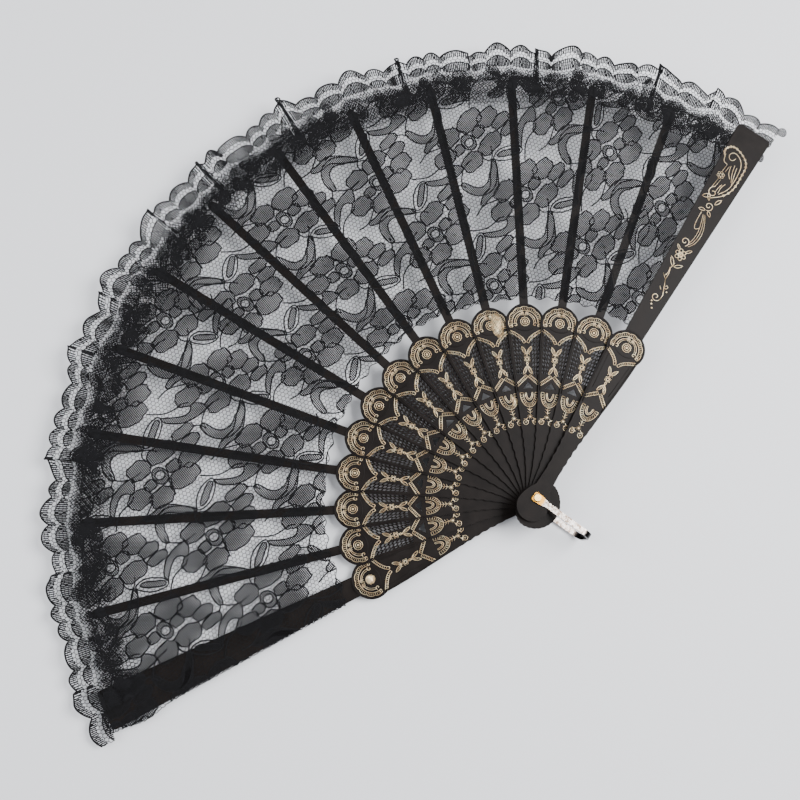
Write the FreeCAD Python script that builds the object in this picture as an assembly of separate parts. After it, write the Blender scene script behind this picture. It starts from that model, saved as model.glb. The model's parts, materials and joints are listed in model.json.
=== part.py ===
"""Folding hand fan, fully open: two guards, twelve openwork sticks, a lace leaf, a rivet and a bail.

Every stick turns on one rivet along Z. The fan lies flat, opens to both sides of +Y, and each
stick lies one layer above the stick before it. The origin is on the rivet's axis, in the flat
face of its rear head. All sizes are in millimetres and degrees.
"""
import FreeCAD, Part
import math
import os

V = FreeCAD.Vector

# Driving dimensions of the whole fan
STICK_COUNT = 12            # inner sticks, between the two guards
GAP_ANGLE = 11.4            # angle between neighbouring sticks of the open fan
OPEN_ANGLE = (STICK_COUNT + 1) * GAP_ANGLE
REAR_DIRECTION = 90.0 + OPEN_ANGLE / 2.0

# Radii along a stick, from the rivet's axis
TAIL_END = 15.0             # rounded tail of an inner stick, past the rivet
TAIL_RADIUS = 7.6
GUARD_TAIL_END = 12.2       # the guards' tails are shorter and smooth
GUARD_TAIL_RADIUS = 7.9
GORGE_END = 99.5            # top of the rounded head
LACE_START = 105.0          # inner edge of the lace leaf
RIB_END = 222.0
RUFFLE_END = 241.0          # scalloped outer edge of the lace
GUARD_END = 230.0

# Thicknesses and layers, from the rear head's flat face at height 0
RIVET_HEAD_THICKNESS = 0.8
SHEET_GAP = 0.1             # running gap between flat faces that turn on each other
BAIL_THICKNESS = 0.85
GUARD_THICKNESS = 2.0
BLADE_THICKNESS = 1.4
BLADE_BACK_STEP = 0.1       # the blade's back lies this far inside the gorge's back
STICK_THICKNESS = 0.9
LAYER_PITCH = 1.15
RIB_THICKNESS = 0.5
LACE_THICKNESS = 0.25
LACE_ABOVE_RIB = 0.2        # room that the slope of the lace needs over the rib's edge
STICK_GAP = 0.15

REAR_LEG_Z = RIVET_HEAD_THICKNESS + SHEET_GAP
REAR_GUARD_Z = REAR_LEG_Z + BAIL_THICKNESS + SHEET_GAP
FIRST_STICK_Z = REAR_GUARD_Z + GUARD_THICKNESS + STICK_GAP
LAST_STICK_TOP = FIRST_STICK_Z + (STICK_COUNT - 1) * LAYER_PITCH + STICK_THICKNESS
FRONT_GUARD_Z = LAST_STICK_TOP + 0.35
FRONT_LEG_Z = FRONT_GUARD_Z + GUARD_THICKNESS + SHEET_GAP
BURR_Z = FRONT_LEG_Z + BAIL_THICKNESS + SHEET_GAP

# Rivet
PIN_RADIUS = 1.5
BORE_RADIUS = PIN_RADIUS + 0.05
RIVET_HEAD_RADIUS = 3.2
BURR_RADIUS = 2.1
BURR_THICKNESS = 0.9

# Widths
RIB_HALF_WIDTH = 2.25
BLADE_START_HALF_WIDTH = 4.9
BLADE_END_HALF_WIDTH = 9.9
BLADE_CORNER = 2.0

# Openwork of an inner stick
CHAIN_HALF_WIDTH = 2.7      # solid strip along the middle, which carries the printed chain
SIDE_BAR = 1.7              # solid bar along each edge
LATTICE_START = 62.5
LATTICE_END = 82.5
LATTICE_PITCH = 2.1
LATTICE_COLUMNS = 3         # slots in a row, on each side of the solid strip
SLOT_LENGTH = 1.15
SLOT_SLANT = 0.9
LATTICE_BRIDGE = 0.4        # solid bridge between two slots of a row

# Small waves moulded along the edges of the shank and round the tail
WAVE_HEIGHT = 0.24
WAVE_PITCH = 4.6
WAVES_START = 12.0
WAVES_END = 47.0
EDGE_STEP = 1.15            # spacing of the points that carry the waves
TAIL_WAVES = 11
TAIL_WAVE_HEIGHT = 0.2
TAIL_STEPS = 60

# Bail
BAIL_DIRECTION = -77.5
BAIL_REACH = 33.0
BAIL_HALF_WIDTH = 1.45
BAIL_EYE_HALF_WIDTH = 2.3
BAIL_BEND_RADIUS = 5.0

# Half-widths of the shank and gorge at a few distances from the rivet
SHANK_PROFILE = [(6.0, 4.0), (15.0, 3.6), (27.0, 3.9), (37.0, 4.7), (46.0, 5.6), (57.0, 6.7),
                 (70.0, 8.0), (85.0, 9.0)]
HEAD_WIDEST = (91.5, 9.8)


def half_width(x):
    """Half-width of the gorge at the distance x, between the points of the profile."""
    for (x0, w0), (x1, w1) in zip(SHANK_PROFILE, SHANK_PROFILE[1:]):
        if x0 <= x <= x1:
            return w0 + (w1 - w0) * (x - x0) / (x1 - x0)
    return SHANK_PROFILE[-1][1]


def edge_point(x, side):
    """Point of the shank's wavy edge or the gorge's smooth one, at the distance x."""
    wave = 0.0
    if WAVES_START < x < WAVES_END:
        swell = math.sin(math.pi * (x - WAVES_START) / (WAVES_END - WAVES_START))
        wave = WAVE_HEIGHT * swell * math.sin(2.0 * math.pi * (x - WAVES_START) / WAVE_PITCH)
    return (x, side * (half_width(x) + wave))


def side_points(side):
    """Points along one edge, from the tail to the notch below the head."""
    first = SHANK_PROFILE[0][0]
    last = SHANK_PROFILE[-1][0]
    steps = int((WAVES_END - first) / EDGE_STEP)
    near = [edge_point(first + i * EDGE_STEP, side) for i in range(steps)]
    far = [(x, side * w) for x, w in SHANK_PROFILE if x > WAVES_END]
    return near + [edge_point(WAVES_END, side)] + far


def tail_points(end, radius, wave):
    """Points round a tail, with small waves of a given height, from the lower side to the upper one."""
    points = []
    for i in range(TAIL_STEPS + 1):
        turn = -math.pi / 2.0 - math.pi * i / TAIL_STEPS
        reach = radius - wave * math.sin(math.pi * TAIL_WAVES * i / TAIL_STEPS) ** 2
        points.append((radius - end + reach * math.cos(turn), reach * math.sin(turn)))
    return points


def stick_angle(index):
    """Direction of a stick: 0 is the rear guard, the last one is the front guard."""
    return REAR_DIRECTION - index * GAP_ANGLE


def stick_z(index):
    """Height of the back of an inner stick."""
    return FIRST_STICK_Z + (index - 1) * LAYER_PITCH


def polygon(points):
    """Closed wire through points given as (x, y)."""
    corners = [V(x, y, 0) for x, y in points]
    return Part.makePolygon(corners + corners[:1])


def circle(radius, x=0.0):
    """Closed circular wire about (x, 0)."""
    return Part.Wire(Part.makeCircle(radius, V(x, 0, 0)))


def plate(outer, holes, thickness, z=0.0):
    """Flat plate from an outline and its holes."""
    face = Part.makeFace([outer] + holes, "Part::FaceMakerBullseye")
    solid = face.extrude(V(0, 0, thickness))
    solid.translate(V(0, 0, z))
    return solid


def place(solid, angle, z):
    """Turn a piece drawn along +X to its direction and lift it to its layer."""
    solid.rotate(V(0, 0, 0), V(0, 0, 1), angle)
    solid.translate(V(0, 0, z))
    return solid


def spline_edge(points):
    """Smooth edge through points given as (x, y)."""
    curve = Part.BSplineCurve()
    curve.interpolate([V(x, y, 0) for x, y in points])
    return curve.toShape()


def arc_edge(start, middle, end):
    """Circular edge through three points given as (x, y)."""
    return Part.Arc(V(*start, 0), V(*middle, 0), V(*end, 0)).toShape()


def gorge_outline(tail):
    """Outline of a shank, gorge and rounded head along +X, closed by the points of a tail."""
    left = side_points(1)
    right = side_points(-1)
    notch = left[-1]
    widest, width = HEAD_WIDEST
    shoulder = (GORGE_END - 2.3, width * 0.62)
    edges = [
        spline_edge(tail),
        arc_edge(tail[-1], (2.6, 6.0), left[0]),
        spline_edge(left),
        arc_edge(notch, (widest, width), shoulder),
        arc_edge(shoulder, (GORGE_END, 0), (shoulder[0], -shoulder[1])),
        arc_edge((shoulder[0], -shoulder[1]), (widest, -width), right[-1]),
        spline_edge(right[::-1]),
        arc_edge(right[0], (2.6, -6.0), tail[0]),
    ]
    return Part.Wire(Part.__sortEdges__(edges))


def lattice_slots():
    """Slanted slots in rows, on both sides of the solid middle strip."""
    slots = []
    rows = int((LATTICE_END - LATTICE_START) / LATTICE_PITCH) + 1
    for row in range(rows):
        x = LATTICE_START + row * LATTICE_PITCH
        outer = half_width(x) - SIDE_BAR
        width = (outer - CHAIN_HALF_WIDTH - (LATTICE_COLUMNS - 1) * LATTICE_BRIDGE) / LATTICE_COLUMNS
        lift = SLOT_SLANT * width
        for column in range(LATTICE_COLUMNS):
            near = CHAIN_HALF_WIDTH + column * (width + LATTICE_BRIDGE)
            far = near + width
            for side in (1, -1):
                slots.append(polygon([(x, side * near), (x + lift, side * far),
                                      (x + lift + SLOT_LENGTH, side * far), (x + SLOT_LENGTH, side * near)]))
    return slots


def window():
    """Small triangular window under the printed chevron."""
    return polygon([(55.6, -2.7), (55.6, 2.7), (58.8, 0.0)])


def rib():
    """Thin strip that carries the lace, rounded at its tip, along +X."""
    root = GORGE_END - 6.0
    tip = RIB_END - RIB_HALF_WIDTH
    w = RIB_HALF_WIDTH
    edges = [
        Part.makeLine(V(root, -w, 0), V(tip, -w, 0)),
        arc_edge((tip, -w), (RIB_END, 0), (tip, w)),
        Part.makeLine(V(tip, w, 0), V(root, w, 0)),
        Part.makeLine(V(root, w, 0), V(root, -w, 0)),
    ]
    return plate(Part.Wire(edges), [], RIB_THICKNESS)


def inner_stick(index):
    """One inner stick: printed gorge with its openwork, and the rib behind the lace."""
    holes = [circle(BORE_RADIUS), window()] + lattice_slots()
    tail = tail_points(TAIL_END, TAIL_RADIUS, TAIL_WAVE_HEIGHT)
    gorge = plate(gorge_outline(tail), holes, STICK_THICKNESS)
    solid = gorge.fuse(rib()).removeSplitter()
    return place(solid, stick_angle(index), stick_z(index))


def blade():
    """Wide outer part of a guard, which widens to its square tip, along +X."""
    start = GORGE_END - 6.0
    w0 = BLADE_START_HALF_WIDTH
    w1 = BLADE_END_HALF_WIDTH
    c = BLADE_CORNER
    cut = c * (1.0 - math.sqrt(0.5))
    edges = [
        Part.makeLine(V(start, -w0, 0), V(GUARD_END - c, -w1, 0)),
        arc_edge((GUARD_END - c, -w1), (GUARD_END - cut, -w1 + cut), (GUARD_END, -w1 + c)),
        Part.makeLine(V(GUARD_END, -w1 + c, 0), V(GUARD_END, w1 - c, 0)),
        arc_edge((GUARD_END, w1 - c), (GUARD_END - cut, w1 - cut), (GUARD_END - c, w1)),
        Part.makeLine(V(GUARD_END - c, w1, 0), V(start, w0, 0)),
        Part.makeLine(V(start, w0, 0), V(start, -w0, 0)),
    ]
    return plate(Part.Wire(edges), [], BLADE_THICKNESS, BLADE_BACK_STEP)


def guard(angle, z):
    """A guard: a solid gorge with a knob at the rivet, and its blade."""
    tail = tail_points(GUARD_TAIL_END, GUARD_TAIL_RADIUS, 0.0)
    gorge = plate(gorge_outline(tail), [circle(BORE_RADIUS)], GUARD_THICKNESS)
    return place(gorge.fuse(blade()).removeSplitter(), angle, z)


def polar(radius, angle, z):
    """Point at a radius and direction from the rivet."""
    turn = math.radians(angle)
    return V(radius * math.cos(turn), radius * math.sin(turn), z)


def lace_height(index):
    """Height of the underside of the lace where a stick carries it."""
    if index == 0:
        return REAR_GUARD_Z + BLADE_BACK_STEP + BLADE_THICKNESS + SHEET_GAP
    if index == STICK_COUNT + 1:
        return FRONT_GUARD_Z - SHEET_GAP - LACE_THICKNESS
    return stick_z(index) + RIB_THICKNESS + LACE_ABOVE_RIB


def thin_sheet(corners):
    """Closed thin solid over four corners, folded along one diagonal."""
    up = V(0, 0, LACE_THICKNESS)
    a, b, c, d = corners
    e, f, g, h = [corner + up for corner in corners]
    loops = [(a, c, b), (a, d, c), (e, f, g), (e, g, h), (a, b, f, e), (b, c, g, f), (c, d, h, g), (d, a, e, h)]
    faces = [Part.Face(Part.makePolygon(list(loop) + [loop[0]])) for loop in loops]
    return Part.Solid(Part.Shell(faces))


def lace_piece(gap, inner, outer):
    """The lace between two radii, from one stick's middle line to the next stick's."""
    near = stick_angle(gap)
    far = stick_angle(gap + 1)
    low = lace_height(gap)
    high = lace_height(gap + 1)
    return thin_sheet([polar(inner, near, low), polar(outer, near, low),
                       polar(outer, far, high), polar(inner, far, high)])


def lace_end_strip():
    """Strip of lace glued on the rear guard's blade, outside its middle line."""
    edge = 0.4
    points = [(LACE_START, 0.0), (GUARD_END, 0.0), (GUARD_END, BLADE_END_HALF_WIDTH - edge),
              (LACE_START, BLADE_START_HALF_WIDTH)]
    return place(plate(polygon(points), [], LACE_THICKNESS), REAR_DIRECTION, lace_height(0))


def rivet_pin():
    """Pin through all the sticks, with its flat rear head."""
    head = Part.makeCylinder(RIVET_HEAD_RADIUS, RIVET_HEAD_THICKNESS)
    shank = Part.makeCylinder(PIN_RADIUS, BURR_Z + BURR_THICKNESS)
    return head.fuse(shank).removeSplitter()


def rivet_burr():
    """Front collar that is clenched round the pin's end."""
    ring = Part.makeCone(BURR_RADIUS, BURR_RADIUS - 0.4, BURR_THICKNESS, V(0, 0, BURR_Z))
    return ring.cut(Part.makeCylinder(PIN_RADIUS, BURR_THICKNESS, V(0, 0, BURR_Z)))


def bail_leg_outline():
    """Leg of the bail seen from above, with its flared eye, along +X."""
    eye = BAIL_EYE_HALF_WIDTH
    w = BAIL_HALF_WIDTH
    end = BAIL_REACH - BAIL_BEND_RADIUS
    return polygon([(-eye, -eye + 0.8), (-eye + 0.8, -eye), (eye - 0.6, -eye), (6.0, -w), (end, -w),
                    (end, w), (6.0, w), (eye - 0.6, eye), (-eye + 0.8, eye), (-eye, eye - 0.8)])


def bail_bend():
    """Rounded end of the bail that joins its two legs, in the plane of the rivet's axis."""
    low = REAR_LEG_Z
    high = FRONT_LEG_Z + BAIL_THICKNESS
    start = BAIL_REACH - BAIL_BEND_RADIUS
    block = Part.makeBox(BAIL_BEND_RADIUS, 2 * BAIL_HALF_WIDTH, high - low, V(start, -BAIL_HALF_WIDTH, low))
    corners = [edge for edge in block.Edges
               if abs(edge.BoundBox.XMin - BAIL_REACH) < 1e-6 and edge.BoundBox.YLength > 1.0]
    block = block.makeFillet(BAIL_BEND_RADIUS - 0.01, corners)
    t = BAIL_THICKNESS
    hole = Part.makeBox(BAIL_BEND_RADIUS - t, 2 * BAIL_HALF_WIDTH + 2, high - low - 2 * t,
                        V(start, -BAIL_HALF_WIDTH - 1, low + t))
    corners = [edge for edge in hole.Edges
               if abs(edge.BoundBox.XMin - (BAIL_REACH - t)) < 1e-6 and edge.BoundBox.YLength > 1.0]
    hole = hole.makeFillet(BAIL_BEND_RADIUS - t - 0.02, corners)
    return block.cut(hole)


def bail():
    """U-shaped loop on the rivet, one leg in front of the fan and one behind it."""
    legs = [plate(bail_leg_outline(), [circle(BORE_RADIUS)], BAIL_THICKNESS, z)
            for z in (REAR_LEG_Z, FRONT_LEG_Z)]
    solid = bail_bend().fuse(legs).removeSplitter()
    return place(solid, BAIL_DIRECTION, 0.0)


def build():
    """All sub-parts by node name."""
    front = STICK_COUNT + 1
    nodes = {
        "rivet_pin": rivet_pin(),
        "rivet_burr": rivet_burr(),
        "bail": bail(),
        "rear_guard": guard(stick_angle(0), REAR_GUARD_Z),
        "front_guard": guard(stick_angle(front), FRONT_GUARD_Z),
        "lace_end_strip": lace_end_strip(),
    }
    for index in range(1, front):
        nodes["stick_%02d" % index] = inner_stick(index)
    for gap in range(front):
        nodes["lace_panel_%02d" % (gap + 1)] = lace_piece(gap, LACE_START, RIB_END)
        nodes["lace_ruffle_%02d" % (gap + 1)] = lace_piece(gap, RIB_END, RUFFLE_END)
    return nodes


os.makedirs("parts", exist_ok=True)
for name, shape in build().items():
    shape.exportStep("parts/%s.step" % name)
    print("%-18s valid %s  solids %d  volume %.1f mm3" % (name, shape.isValid(), len(shape.Solids), shape.Volume))
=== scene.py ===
# %% [markdown]
# # A folding lace fan
#
# The fan is fourteen moulded sticks on one rivet, with a lace leaf glued over their outer ends.
# The design model fixes every stick, joint and layer, so this lesson starts from it and adds what
# makes the real thing: rounded mouldings, gold foil print, thread-by-thread lace and good materials.

# %% Load the design
import json
import math
import bpy
import bmesh
import numpy as np
from mathutils import Matrix, Vector


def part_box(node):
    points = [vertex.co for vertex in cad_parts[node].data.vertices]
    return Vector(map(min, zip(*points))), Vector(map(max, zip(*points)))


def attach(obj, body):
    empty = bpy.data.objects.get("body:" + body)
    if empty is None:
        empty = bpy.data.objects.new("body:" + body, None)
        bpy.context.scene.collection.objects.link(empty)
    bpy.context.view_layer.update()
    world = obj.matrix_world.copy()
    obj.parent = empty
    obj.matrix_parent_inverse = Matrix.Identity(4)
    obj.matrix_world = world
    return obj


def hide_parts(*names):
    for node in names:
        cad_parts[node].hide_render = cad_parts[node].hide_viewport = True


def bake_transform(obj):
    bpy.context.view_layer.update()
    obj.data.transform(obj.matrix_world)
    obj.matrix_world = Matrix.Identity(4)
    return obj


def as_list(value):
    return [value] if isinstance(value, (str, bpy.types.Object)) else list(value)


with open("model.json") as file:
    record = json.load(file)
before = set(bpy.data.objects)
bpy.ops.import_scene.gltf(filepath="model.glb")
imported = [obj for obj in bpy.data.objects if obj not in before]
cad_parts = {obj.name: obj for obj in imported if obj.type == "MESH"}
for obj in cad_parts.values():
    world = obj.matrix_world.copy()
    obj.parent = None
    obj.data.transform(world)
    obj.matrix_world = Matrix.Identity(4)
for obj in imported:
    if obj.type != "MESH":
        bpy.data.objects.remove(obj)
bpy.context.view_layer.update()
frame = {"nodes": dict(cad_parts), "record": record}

MM = 0.001
JOINTS = frame["record"]["behaviour"]["joints"]
GAP = math.radians(JOINTS[0]["range_deg"][1])
STICKS = sum(1 for name in frame["nodes"] if name.startswith("stick_"))
GAPS = STICKS + 1
REAR = math.pi / 2 + GAPS * GAP / 2
BODIES = ["root"] + ["stick_%02d" % k for k in range(1, GAPS)] + ["front_guard"]
print("sticks", STICKS, "gap in degrees", round(math.degrees(GAP), 2))

# %% [markdown]
# ## Where things lie
#
# A fan is easiest to draw one stick at a time, along +X and in millimetres, and then to turn into
# its place. One matrix does that for any stick: scale to metres, turn about the rivet, and lift to
# the stick's own layer, which the design gives.

# %% Placing a drawing on its stick
NODE_OF = ["rear_guard"] + BODIES[1:]
LACE_START = 105.0
RIB_END = 222.0
RUFFLE_START = 208.0


def direction(k):
    """Direction of stick k in radians: 0 is the rear guard, the last is the front guard."""
    return REAR - k * GAP


def layer(k, end=0):
    """Height in mm of the back (end 0) or the front (end 1) of stick k."""
    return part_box(NODE_OF[k])[end][2] / MM


def placing(k, z):
    """Matrix from a drawing in mm along +X to the place of stick k, at the height z in mm."""
    turn = Matrix.Rotation(direction(k), 4, "Z")
    return Matrix.Translation((0, 0, z * MM)) @ turn @ Matrix.Scale(MM, 4)


def add_object(name, mesh, material, smooth=True):
    """New object for a finished mesh."""
    piece = bpy.data.objects.new(name, mesh)
    bpy.context.scene.collection.objects.link(piece)
    mesh.materials.clear()
    mesh.materials.append(material)
    for face in mesh.polygons:
        face.use_smooth = smooth
    return piece


print("layers in mm", [round(layer(k), 2) for k in range(GAPS + 1)])

# %% [markdown]
# ## Finishes
#
# Five materials are enough. The sticks are black injection-moulded plastic: a warm black with a
# soft gloss that varies a little, and a very fine mould grain. The print is hot-stamped foil, so it
# is metallic but patchy, from pale champagne to worn tan. The lace is matt black thread with a
# faint sheen. The bail is polished metal with a darker bend, and the rivet is brass.

# %% Material helpers


def new_material(name, color, roughness, metallic=0.0):
    """Material whose constant values sit on the shader's own sockets."""
    material = bpy.data.materials.new(name)
    material.use_nodes = True
    shader = material.node_tree.nodes["Principled BSDF"]
    shader.inputs["Base Color"].default_value = (*color, 1.0)
    shader.inputs["Roughness"].default_value = roughness
    shader.inputs["Metallic"].default_value = metallic
    return material, shader


def add_noise(material, scale, detail=3.0, roughness=0.5):
    """Noise over the object's own coordinates, in cells per metre."""
    nodes = material.node_tree.nodes
    place = nodes.new("ShaderNodeTexCoord")
    noise = nodes.new("ShaderNodeTexNoise")
    noise.inputs["Scale"].default_value = scale
    noise.inputs["Detail"].default_value = detail
    noise.inputs["Roughness"].default_value = roughness
    material.node_tree.links.new(place.outputs["Object"], noise.inputs["Vector"])
    return noise.outputs["Fac"]


def add_ramp(material, factor, stops):
    """Colour ramp through stops given as (position, colour)."""
    ramp = material.node_tree.nodes.new("ShaderNodeValToRGB")
    while len(ramp.color_ramp.elements) < len(stops):
        ramp.color_ramp.elements.new(0.5)
    for element, (position, color) in zip(ramp.color_ramp.elements, stops):
        element.position = position
        element.color = (*color, 1.0)
    material.node_tree.links.new(factor, ramp.inputs["Fac"])
    return ramp.outputs["Color"]


def add_range(material, value, low, high):
    """Map a 0 to 1 value to a range."""
    node = material.node_tree.nodes.new("ShaderNodeMapRange")
    node.inputs["To Min"].default_value = low
    node.inputs["To Max"].default_value = high
    material.node_tree.links.new(value, node.inputs["Value"])
    return node.outputs["Result"]


def add_bump(material, shader, height, distance, strength=1.0):
    """Bump from a height."""
    bump = material.node_tree.nodes.new("ShaderNodeBump")
    bump.inputs["Strength"].default_value = strength
    bump.inputs["Distance"].default_value = distance
    material.node_tree.links.new(height, bump.inputs["Height"])
    material.node_tree.links.new(bump.outputs["Normal"], shader.inputs["Normal"])


# %% Black moulded plastic


def make_plastic():
    """Warm black moulding: slightly uneven gloss and a fine mould grain."""
    material, shader = new_material("black_moulding", (0.013, 0.012, 0.0115), 0.4)
    link = material.node_tree.links.new
    cloudy = add_noise(material, 160.0)
    tone = add_ramp(material, cloudy, [(0.3, (0.0075, 0.0060, 0.0055)), (0.7, (0.012, 0.0095, 0.0086))])
    link(tone, shader.inputs["Base Color"])
    link(add_range(material, cloudy, 0.30, 0.42), shader.inputs["Roughness"])
    add_bump(material, shader, add_noise(material, 2600.0, 2.0), 0.00002, 0.5)
    shader.inputs["Specular IOR Level"].default_value = 0.07
    return material


plastic = make_plastic()
print("made", plastic.name)

# %% Gold foil


def make_foil():
    """Hot-stamped foil: pale gold with tan, worn patches."""
    material, shader = new_material("gold_foil", (0.8, 0.62, 0.38), 0.34, 1.0)
    link = material.node_tree.links.new
    worn = add_noise(material, 420.0, 4.0, 0.65)
    tone = add_ramp(material, worn, [(0.30, (0.50, 0.33, 0.18)), (0.44, (0.86, 0.64, 0.38)),
                                     (0.58, (1.0, 0.85, 0.56)), (0.76, (1.0, 0.94, 0.74))])
    link(tone, shader.inputs["Base Color"])
    link(add_range(material, worn, 0.46, 0.24), shader.inputs["Roughness"])
    add_bump(material, shader, add_noise(material, 3000.0, 2.0), 0.00003, 0.6)
    return material


foil = make_foil()
print("made", foil.name)

# %% Lace thread


def make_thread():
    """Matt black thread with a faint sheen and a fine twist."""
    material, shader = new_material("black_thread", (0.008, 0.008, 0.009), 0.8)
    link = material.node_tree.links.new
    uneven = add_noise(material, 900.0, 2.0)
    tone = add_ramp(material, uneven, [(0.3, (0.003, 0.003, 0.0035)), (0.75, (0.008, 0.008, 0.010))])
    link(tone, shader.inputs["Base Color"])
    shader.inputs["Sheen Weight"].default_value = 0.03
    shader.inputs["Sheen Roughness"].default_value = 0.5
    shader.inputs["Specular IOR Level"].default_value = 0.15
    add_bump(material, shader, add_noise(material, 5200.0, 1.0), 0.00004, 0.6)
    return material


thread = make_thread()
print("made", thread.name)

# %% Bail and rivet


def make_bail_metal():
    """Polished pale metal, mottled by handling, turning near-black from 28.8 mm to 29.8 mm from the rivet,
    at the bend at its far end.
    """
    material, shader = new_material("bail_metal", (0.88, 0.85, 0.80), 0.16, 1.0)
    nodes = material.node_tree.nodes
    link = material.node_tree.links.new
    mottle = add_noise(material, 700.0, 3.0, 0.6)
    pale = add_ramp(material, mottle, [(0.38, (0.17, 0.12, 0.09)), (0.5, (0.40, 0.34, 0.30)),
                                       (0.66, (0.60, 0.56, 0.53))])
    place = nodes.new("ShaderNodeTexCoord")
    plan = nodes.new("ShaderNodeVectorMath")
    plan.operation = "MULTIPLY"
    plan.inputs[1].default_value = (1.0, 1.0, 0.0)
    link(place.outputs["Object"], plan.inputs[0])
    distance = nodes.new("ShaderNodeVectorMath")
    distance.operation = "LENGTH"
    link(plan.outputs["Vector"], distance.inputs[0])
    bend = nodes.new("ShaderNodeMapRange")
    bend.inputs["From Min"].default_value = 0.0288
    bend.inputs["From Max"].default_value = 0.0298
    link(distance.outputs["Value"], bend.inputs["Value"])
    eye = nodes.new("ShaderNodeMapRange")
    eye.inputs["From Min"].default_value = 0.0034
    eye.inputs["From Max"].default_value = 0.0046
    link(distance.outputs["Value"], eye.inputs["Value"])
    gold = nodes.new("ShaderNodeMix")
    gold.data_type = "RGBA"
    gold.inputs["A"].default_value = (0.62, 0.30, 0.045, 1.0)
    link(eye.outputs["Result"], gold.inputs["Factor"])
    link(pale, gold.inputs["B"])
    tone = nodes.new("ShaderNodeMix")
    tone.data_type = "RGBA"
    tone.inputs["B"].default_value = (0.012, 0.012, 0.012, 1.0)
    link(bend.outputs["Result"], tone.inputs["Factor"])
    link(gold.outputs["Result"], tone.inputs["A"])
    link(tone.outputs["Result"], shader.inputs["Base Color"])
    link(add_range(material, mottle, 0.14, 0.34), shader.inputs["Roughness"])
    return material


def make_brass():
    """Bright brass of the rivet, lightly scratched."""
    material, shader = new_material("rivet_brass", (0.86, 0.60, 0.24), 0.25, 1.0)
    scratch = add_noise(material, 1500.0, 3.0)
    material.node_tree.links.new(add_range(material, scratch, 0.15, 0.4), shader.inputs["Roughness"])
    add_bump(material, shader, scratch, 0.00002, 0.4)
    return material


bail_metal = make_bail_metal()
brass = make_brass()
FINISH_OF = {"bail": bail_metal, "rivet_pin": brass, "rivet_burr": brass}
for name, finish in FINISH_OF.items():
    frame["nodes"][name].data.materials.clear()
    frame["nodes"][name].data.materials.append(finish)
print("finished", sorted(FINISH_OF))

# %% [markdown]
# ## Rounded mouldings
#
# A moulded stick has no razor edges: every corner, and the rim of every small window, is slightly
# round, and that is what catches the light. The design's mesh has the right outline but sharp
# corners, so a copy is welded, its flat faces are joined, and its corners are bevelled.

# %% Sticks with rounded corners
EDGE_ROUND = 0.12
SHARP = math.radians(40)


def rounded_copy(node, amount):
    """Copy of a node's mesh, welded, with its sharp corners rounded by an amount in mm."""
    bm = bmesh.new()
    bm.from_mesh(frame["nodes"][node].data)
    bmesh.ops.remove_doubles(bm, verts=bm.verts, dist=0.002 * MM)
    bmesh.ops.dissolve_limit(bm, angle_limit=math.radians(0.5), verts=bm.verts, edges=bm.edges)
    sharp = [e for e in bm.edges if len(e.link_faces) == 2 and e.calc_face_angle() > SHARP
             and abs((e.verts[0].co - e.verts[1].co).normalized().z) < 0.5]
    bmesh.ops.bevel(bm, geom=sharp, offset=amount * MM, offset_type="OFFSET", segments=2,
                    profile=0.5, affect="EDGES", clamp_overlap=True, material=-1)
    bmesh.ops.triangulate(bm, faces=[f for f in bm.faces if len(f.verts) > 4])
    mesh = bpy.data.meshes.new(node + "_rounded")
    bm.to_mesh(mesh)
    bm.free()
    return mesh


def shade_moulding(mesh, limit=math.radians(50)):
    """Flat shading on the flat sides, smooth shading round the corners."""
    mesh.set_sharp_from_angle(angle=limit)
    for face in mesh.polygons:
        face.use_smooth = abs(face.normal.z) < 0.999


for k in range(GAPS + 1):
    node = NODE_OF[k]
    mesh = rounded_copy(node, EDGE_ROUND if 0 < k < GAPS else 2.5 * EDGE_ROUND)
    body = add_object(node + "_moulding", mesh, plastic)
    shade_moulding(mesh)
    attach(body, BODIES[k])
    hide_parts(node)
print("moulded", GAPS + 1, "sticks")

# %% [markdown]
# ## Drawing with strokes
#
# The gold print is line work: every ornament is made of fine strokes of foil, 0.2 to 0.4 mm wide. A
# curve with a bevel gives a stroke its width, and one curve holds them all. The result becomes a
# mesh and is pressed flat, because foil has almost no height. The same function will later make
# the threads of the lace, which stay round.

# %% Strokes to mesh


def strokes_to_mesh(name, strokes, sides=0, flatten=1.0, rise=0.0):
    """Mesh from strokes given as (points in mm, half-width in mm, closed)."""
    curve = bpy.data.curves.new(name, "CURVE")
    curve.dimensions = "3D"
    curve.bevel_depth = 1.0
    curve.bevel_resolution = sides
    curve.use_fill_caps = True
    for points, half_width, closed in strokes:
        spline = curve.splines.new("POLY")
        spline.points.add(len(points) - 1)
        rows = np.ones((len(points), 4), np.float32)
        rows[:, 2] = 0.0
        rows[:, :len(points[0])] = points
        spline.points.foreach_set("co", rows.ravel())
        spline.points.foreach_set("radius", np.full(len(points), half_width, np.float32))
        spline.use_cyclic_u = closed
    maker = bpy.data.objects.new(name + "_maker", curve)
    mesh = bpy.data.meshes.new_from_object(maker)
    bpy.data.objects.remove(maker)
    bpy.data.curves.remove(curve)
    mesh.name = name
    bm = bmesh.new()
    bm.from_mesh(mesh)
    bmesh.ops.remove_doubles(bm, verts=bm.verts, dist=0.001)
    bm.to_mesh(mesh)
    bm.free()
    if flatten != 1.0:
        mesh.transform(Matrix.Translation((0, 0, rise)) @ Matrix.Diagonal((1, 1, flatten, 1)))
    return mesh


def arc(x, y, rx, ry, start, stop, steps):
    """Points of an elliptical arc; angles in degrees from +X, which points outwards on a stick."""
    turns = np.radians(np.linspace(start, stop, steps))
    return np.column_stack((x + rx * np.cos(turns), y + ry * np.sin(turns)))


def ring(x, y, radius, steps=12):
    """Points of a small circle, to be closed."""
    return arc(x, y, radius, radius, 0, 360 - 360 / steps, steps)


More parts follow.
